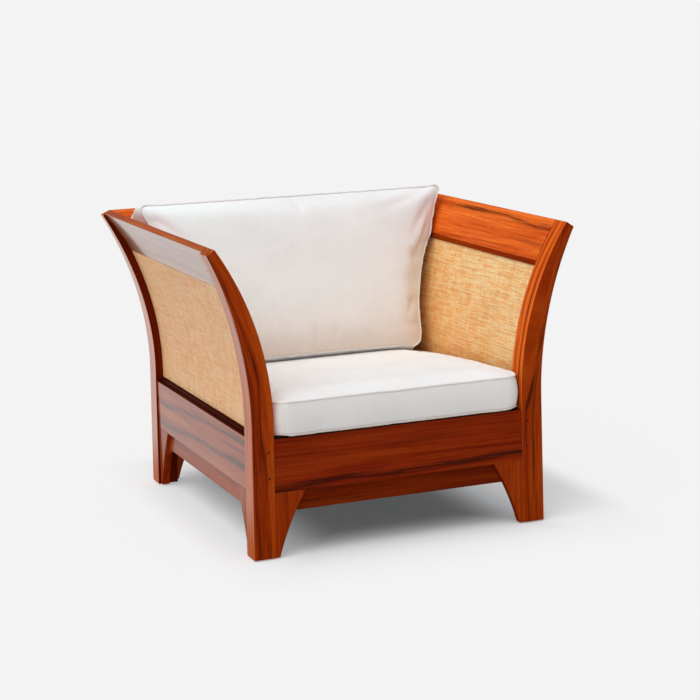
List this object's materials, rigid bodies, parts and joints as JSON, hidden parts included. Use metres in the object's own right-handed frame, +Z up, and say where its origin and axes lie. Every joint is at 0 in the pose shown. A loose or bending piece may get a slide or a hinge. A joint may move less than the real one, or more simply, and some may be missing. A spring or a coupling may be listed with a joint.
{
  "type": "lounge chair",
  "caption": "Low lounge armchair with flared arms and back, solid wood posts and rails, woven raffia walls and two loose piped cushions.",
  "frame": {"origin": "on the floor, in the middle of the chair's outline", "axes": "+X to the sitter's left, which is the right side seen from the front; +Y to the back; +Z up"},
  "size_m": [1.024, 1.01, 0.8467],
  "materials": {
    "frame_wood": "satin lacquer",
    "inner_wood": "sanded, uncoated",
    "raffia": "plain weave",
    "peg_wood": "satin lacquer",
    "steel": "zinc plated",
    "nylon": "matt",
    "linen": "plain woven linen"
  },
  "bodies": {
    "frame": {"front_left_post": "frame_wood", "front_right_post": "frame_wood", "rear_left_post": "frame_wood", "rear_right_post": "frame_wood", "front_rail": "frame_wood", "rear_rail": "frame_wood", "left_rail": "frame_wood", "right_rail": "frame_wood", "front_lower_rail": "frame_wood", "rear_lower_rail": "frame_wood", "left_lower_rail": "frame_wood", "right_lower_rail": "frame_wood", "front_left_bracket": "frame_wood", "front_right_bracket": "frame_wood", "rear_left_bracket": "frame_wood", "rear_right_bracket": "frame_wood", "left_front_bracket": "frame_wood", "left_rear_bracket": "frame_wood", "right_front_bracket": "frame_wood", "right_rear_bracket": "frame_wood", "left_arm_rail": "frame_wood", "right_arm_rail": "frame_wood", "crest_rail": "frame_wood", "left_top_bead": "frame_wood", "right_top_bead": "frame_wood", "back_top_bead": "frame_wood", "left_bottom_bead": "frame_wood", "right_bottom_bead": "frame_wood", "back_bottom_bead": "frame_wood", "left_panel_board": "inner_wood", "right_panel_board": "inner_wood", "back_panel_board": "inner_wood", "front_ledger": "inner_wood", "rear_ledger": "inner_wood", "seat_bearer": "inner_wood", "front_left_corner_block": "inner_wood", "front_right_corner_block": "inner_wood", "rear_left_corner_block": "inner_wood", "rear_right_corner_block": "inner_wood", "seat_slat_1": "inner_wood", "seat_slat_2": "inner_wood", "seat_slat_3": "inner_wood", "seat_slat_4": "inner_wood", "seat_slat_5": "inner_wood", "seat_slat_6": "inner_wood", "seat_slat_7": "inner_wood", "seat_slat_8": "inner_wood", "seat_slat_9": "inner_wood", "left_raffia_outer": "raffia", "left_raffia_inner": "raffia", "right_raffia_outer": "raffia", "right_raffia_inner": "raffia", "back_raffia_outer": "raffia", "back_raffia_inner": "raffia", "front_joint_pegs": "peg_wood", "slat_screws": "steel", "corner_bolts": "steel", "foot_glides": "nylon"},
    "seat_cushion": {"seat_cushion": "linen"},
    "back_cushion": {"back_cushion": "linen"}
  },
  "joints": [
    {"name": "seat_cushion_lift", "type": "slide", "parent": "frame", "child": "seat_cushion", "axis": [0, 0, 1], "range_m": [0, 0.57]},
    {"name": "back_cushion_lift", "type": "slide", "parent": "seat_cushion", "child": "back_cushion", "axis": [0, 0, 1], "range_m": [0, 0.46]}
  ]
}
